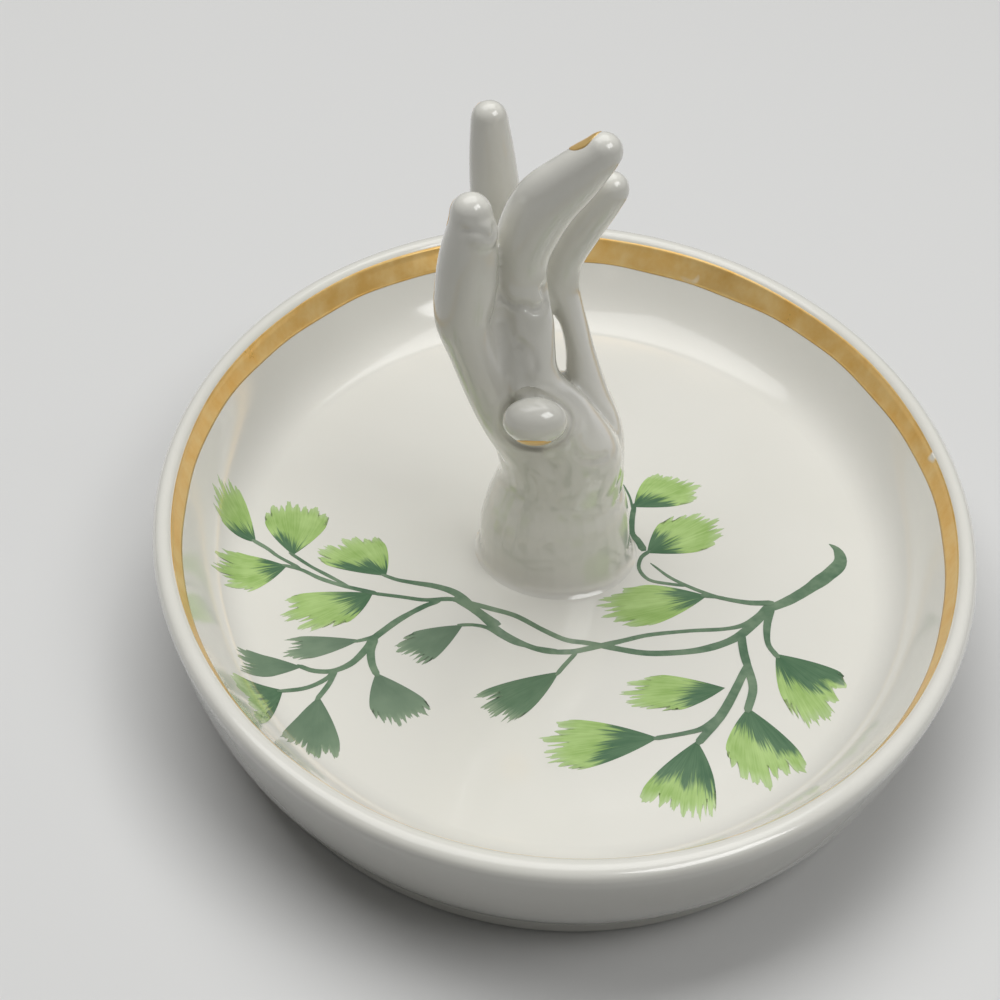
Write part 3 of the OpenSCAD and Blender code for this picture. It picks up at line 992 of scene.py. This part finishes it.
def painted(thing, name):
    """Gives a laid sheet of paint its thickness, and makes it a finished piece."""
    thing.name = name
    work = bmesh.new()
    work.from_mesh(thing.data)
    reach = work.verts.layers.float.get("reach")
    if reach:
        roots = [vertex for vertex in work.verts if vertex[reach] == 0.0]
        bmesh.ops.remove_doubles(work, verts=roots, dist=0.001 * MM)
    for face in work.faces:
        if face.normal.z < 0:
            face.normal_flip()
    work.to_mesh(thing.data)
    work.free()
    film = thing.modifiers.new("film", "SOLIDIFY")
    film.thickness = PAINT_THICK * MM
    film.offset = -1.0
    settle(thing)
    smooth_shaded(thing.data)
    thing.data.set_sharp_from_angle(angle=math.radians(40))
    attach(thing, "root")


LEAF_STOP = 3.4


def below_gold(place):
    """Draws a leaf's end back from the rim, so that it stays on the cove."""
    reach = math.hypot(place.x, place.y / OVAL)
    return place * min(1.0, (RIM_X - LIP_T - LEAF_STOP) / reach)


def make_leaves(dish, skin):
    roots = [under_pixel(skin, *leaf[0]) for leaf in LEAVES]
    points = new_object("leaves", mesh_from("leaves", roots, []))

    def write(name, values, kind="FLOAT"):
        layer = points.data.attributes.new(name, kind, "POINT")
        for item, value in zip(layer.data, values):
            if kind == "FLOAT":
                item.value = value
            else:
                item.vector = value

    flat = Vector((1, 1, 0))
    for label, column in (("first", 1), ("furthest", 2), ("second", 3)):
        write(label, [(below_gold(under_pixel(skin, *leaf[column])) - root) * flat * MM
                      for leaf, root in zip(LEAVES, roots)], "FLOAT_VECTOR")
    write("root", [root * MM for root in roots], "FLOAT_VECTOR")
    for label, column in (("dark_first", 4), ("dark_second", 5), ("dusty", 6), ("strokes", 7)):
        write(label, [leaf[column] for leaf in LEAVES])
    write("which", range(len(LEAVES)))
    growth = leaf_growth(leaf_green())
    grown = growth.grow(points, {"Dish": dish, "Lift": PAINT_LIFT * MM, "Fullness": 1.09,
                                 "Belly": 0.32, "Ragged": 0.24, "Seed": 4,
                                 "Points across": 90, "Points out": 22})
    painted(grown, "painted_leaves")


STEM_RUN_ON = 0.7
STEM_STEPS = 6
STEM_BODY = 0.95
STEM_END = 0.5


def make_stems(dish, skin):
    curve = bpy.data.curves.new("stems", "CURVE")
    curve.dimensions = "3D"
    for pixels, widths in STEMS:
        stations = [under_pixel(skin, *pixel) for pixel in pixels]
        stations.append(stations[-1] + (stations[-1] - stations[-2]).normalized() * STEM_RUN_ON)
        run = smooth_run([list(station) for station in stations], STEM_STEPS)
        spline = curve.splines.new("POLY")
        spline.points.add(len(run) - 1)
        for i, (point, place) in enumerate(zip(spline.points, run)):
            point.co = (*(Vector(place) * MM), 1.0)
            share = (len(widths) - 1) * i / (len(run) - 1)
            before = min(int(share), len(widths) - 2)
            wide = widths[before] + (widths[before + 1] - widths[before]) * (share - before)
            point.radius = wide * MM * (STEM_END if i in (0, len(run) - 1) else STEM_BODY)
    paths = new_object("stems", curve)
    growth = stem_growth(stem_green())
    grown = growth.grow(paths, {"Dish": dish, "Lift": PAINT_LIFT * MM * 0.7, "Step": 0.0006,
                                "Waver": 0.5})
    painted(grown, "painted_stems")


# The stage

def make_camera():
    lens = bpy.data.cameras.new("camera")
    lens.sensor_width = 36.0
    lens.lens = lens.sensor_width * FOCAL_PIXELS / FRAME_PIXELS
    lens.clip_start = 0.01
    lens.clip_end = 10.0
    camera = bpy.data.objects.new("camera", lens)
    bpy.context.scene.collection.objects.link(camera)
    camera.matrix_world = Matrix.Translation(Vector(CAMERA_AT) * MM) @ CAMERA_TURN
    bpy.context.scene.camera = camera


def make_floor():
    """A pale table top. What bounces off it on to the dish is toned down, what is seen is pale."""
    size = 3000.0
    floor = new_object("floor", mesh_from("floor", [(-size, -size, 0), (size, -size, 0), (size, size, 0),
                                                    (-size, size, 0)], [(0, 1, 2, 3)]))
    f = Finish("pale_floor")
    seen = f.node("ShaderNodeLightPath", output="Is Camera Ray")
    glossy = Value(f, seen.socket.node.outputs["Is Glossy Ray"])
    through = Value(f, seen.socket.node.outputs["Is Transmission Ray"])
    pale = seen.maths("MAXIMUM", seen.maths("MAXIMUM", seen, glossy), through)
    tone = f.mix(pale, colour(0.34, 0.34, 0.335), colour(0.70, 0.70, 0.69))
    f.surface(Base_Color=tone, Roughness=0.7)
    floor.data.materials.append(f.material)


LAMPS_AIM = (0, 0, 20)
ROOM_GLOW = 0.13


def make_lamp(name, at, size, watts, mirrored=True):
    light = bpy.data.lights.new(name, "AREA")
    light.shape = "RECTANGLE"
    light.size, light.size_y = size[0] * MM, size[1] * MM
    light.energy = watts
    lamp = bpy.data.objects.new(name, light)
    bpy.context.scene.collection.objects.link(lamp)
    aim = (Vector(LAMPS_AIM) - Vector(at)).to_track_quat("-Z", "Y").to_matrix().to_4x4()
    lamp.matrix_world = Matrix.Translation(Vector(at) * MM) @ aim
    lamp.visible_glossy = mirrored


def make_light():
    """Soft light from above and behind, a weaker lamp at the right, and a dim room. Most of the
    window's light isn't mirrored in the glaze, so that its reflection stays faint."""
    make_lamp("window", (-100, 220, 800), (900, 600), 1.9)
    make_lamp("daylight", (-100, 220, 810), (900, 600), 4.2, mirrored=False)
    make_lamp("room_light", (330, -230, 560), (380, 260), 1.15)
    world = bpy.data.worlds.new("room")
    world.use_nodes = True
    world.node_tree.nodes["Background"].inputs[0].default_value = (1, 1, 1, 1)
    world.node_tree.nodes["Background"].inputs[1].default_value = ROOM_GLOW
    bpy.context.scene.world = world


bpy.context.scene.view_settings.view_transform = "Standard"
make_camera()
dish = make_dish()
dish_skin = skin_of(dish)
make_foot()
make_gold_band()
hand = make_hand()
thumb = make_thumb()
make_nails(hand, thumb)
make_leaves(dish, dish_skin)
make_stems(dish, dish_skin)
make_floor()
make_light()
